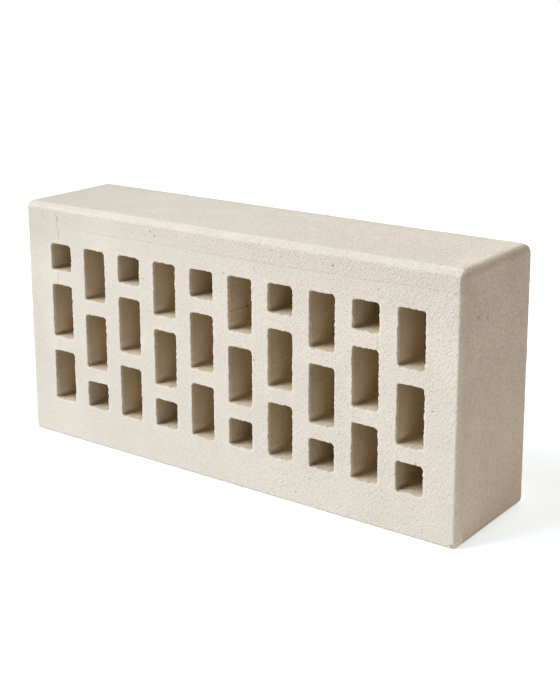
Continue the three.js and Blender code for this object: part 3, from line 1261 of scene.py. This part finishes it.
# Painted light and shade on the right end: paler at the foot from the floor's bounce, darker at the
# top and in the near lower corner.
end_painted_light = plus(fade_mm(up, 10, HEIGHT, 0.09, -0.09), fade_mm(up, 0, 30, 0.08, 0.0))
shaded = times(fade_mm(up, 2, 16, -0.3, 0.0), fade_mm(through, -30, -12, 1.0, 0.0))
end_painted_light = times(end_share, plus(end_painted_light, times(shaded, off_cut)))

across_top = plus(fade_mm(along, -130, -50, -0.075, 0.0), fade_mm(along, 100, 125, 0.0, 0.085))
across_top = plus(across_top, fade_mm(along, 118, 122, 0.0, -0.03))
across_top = times(across_top, fade_mm(up, 118, 119.5))

# A cut face is a little darker towards its ends, high up, above the slots.
upper_ends_darker = grown(rightward, -0.035, fade_mm(along, -120, -70, -0.1, 0.0))
upper_ends_darker = times(times(upper_ends_darker, fade_mm(up, 85, 106)), face_only)
far_left = grown(rightward, -0.02, fade_mm(along, -120, -105, -0.03, 0.0))
far_left = times(far_left, on_face)

tone = plus(plus(cloudy, end_painted_light), far_left)
tone = plus(tone, plus(across_top, upper_ends_darker))
colour = vector_calc(tree, "SCALE", colour, scale=tone)
print("nodes after the tone:", len(tree.nodes))

# %% [markdown]
# ## Fired clay: specks, pits and cracks
#
# Brown specks, the grain's pits and nicks in the edges are spread by noise. The larger
# cracks and pits are placed one by one, as thin lines on the near cut face, on a slot's
# wall and on the right end.

# %% Specks, pits and cracks
SPECK = linear(145, 100, 68)
PIT = linear(120, 96, 70)
CRACK = linear(140, 118, 90)
NEAR, RIGHT = -THICKNESS / 2, LENGTH / 2
WALL = COLUMN_PITCH / 2 - SLOT_WIDTH / 2  # the sixth column's left wall
LINES = (  # from, to, width and wobble in millimetres, and strength
    ((-102.8, NEAR, 116.0), (-101.2, NEAR, 102.6), 0.5, 1.8, 0.28),
    ((-102.2, NEAR, 113.6), (-102.1, NEAR, 112.4), 0.7, 0.8, 0.35),
    ((-102.4, NEAR, 87.0), (-102.8, NEAR, 80.5), 0.5, 1.2, 0.22),
    ((-112.2, NEAR, 115.6), (-111.6, NEAR, 111.4), 0.5, 1.2, 0.2),
    ((-103.4, NEAR, 50.6), (-103.7, NEAR, 45.3), 0.5, 1.2, 0.2),
    ((-97.2, NEAR, 89.4), (-97.1, NEAR, 87.6), 0.8, 0.8, 0.6),
    ((83.9, NEAR, 90.8), (84.1, NEAR, 79.9), 0.4, 0.8, 0.3),
    ((WALL, NEAR + 1, 83.3), (WALL, NEAR + 14, 82.8), 0.45, 1.6, 0.6),
    ((WALL, NEAR + 14, 82.8), (WALL, NEAR + 14.5, 82.9), 0.9, 0.4, 0.9),
    ((-41.2, NEAR, 114.3), (-41.1, NEAR, 114.8), 0.4, 0.6, 0.8),
    ((1.5, NEAR, 116.2), (1.7, NEAR, 116.1), 0.4, 0.6, 0.7),
    ((29.0, NEAR, 115.2), (29.2, NEAR, 115.3), 0.35, 0.6, 0.6),
    ((41.0, NEAR, 116.1), (41.5, NEAR, 116.2), 0.35, 0.6, 0.6),
    ((2.2, NEAR, 101.2), (2.2, NEAR, 100.9), 0.35, 0.4, 0.7),
    ((86.6, NEAR, 117.0), (86.9, NEAR, 117.1), 0.35, 0.6, 0.6),
    ((111.8, NEAR, 109.6), (111.8, NEAR, 109.8), 0.35, 0.4, 0.7),
    ((120.4, NEAR, 109.8), (120.5, NEAR, 110.0), 0.35, 0.4, 0.7),
    ((121.3, NEAR, 1.8), (121.6, NEAR, 1.5), 0.7, 0.4, 0.8),
    ((RIGHT, -19.1, 98.6), (RIGHT, -19.1, 98.2), 0.7, 0.3, 0.9),
    ((RIGHT, -11.2, 96.0), (RIGHT, -11.2, 95.8), 0.6, 0.3, 0.6),
)

specks = times(fade(dust, 0.27, 0.37, 1.0, 0.0), on_face)
speck_level = grown(dragged, 0.1, grown(rightward, 0.14, 0.15))
colour = mixed(times(specks, speck_level), colour, SPECK)
colour = mixed(times(grained.outputs["Pit"], grown(rightward, 0.25, 0.33)), colour, PIT)
nicked = times(edge_share, fade(dust, 0.58, 0.68))
colour = mixed(times(nicked, 0.3), colour, PIT)
for start, end, width, wobble, strength in LINES:
    drawing = {
        "Place": place,
        "From": [value * MM for value in start],
        "To": [value * MM for value in end],
        "Width": width * MM,
        "Wobble": wobble * MM,
    }
    drawn = put(tree, "ShaderNodeGroup", drawing, node_tree=line).outputs["Mask"]
    colour = mixed(times(drawn, strength), colour, CRACK)
print("cracks and pits placed by hand:", len(LINES))

# %% [markdown]
# ## Fired clay: the shader
#
# Fired clay without a glaze scatters light almost evenly, so it is rough and has little
# gloss. The grain's height feeds a bump, whose distance is the height in metres that one
# unit of grain stands for.

# %% Shader
GRAIN_HEIGHT = 0.26 * MM

bump = {"Strength": 1.0, "Distance": GRAIN_HEIGHT, "Height": grained.outputs["Height"]}
normal = put(tree, "ShaderNodeBump", bump).outputs[0]
gloss = {"Roughness": 0.9, "Specular IOR Level": 0.3}
shader = put(tree, "ShaderNodeBsdfPrincipled", {"Base Color": colour, "Normal": normal, **gloss})
put(tree, "ShaderNodeOutputMaterial", {"Surface": shader.outputs[0]})
skin.materials.append(clay)
print("nodes in the clay:", len(tree.nodes))

# %% [markdown]
# ## Sizes, and the end
#
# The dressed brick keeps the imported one's size, but for a few tenths of a millimetre of
# relief. Both boxes are written down, so that they can be compared.

# %% Finish
print("dressed brick, mm:", np.ptp(points, axis=0).round(1).tolist())
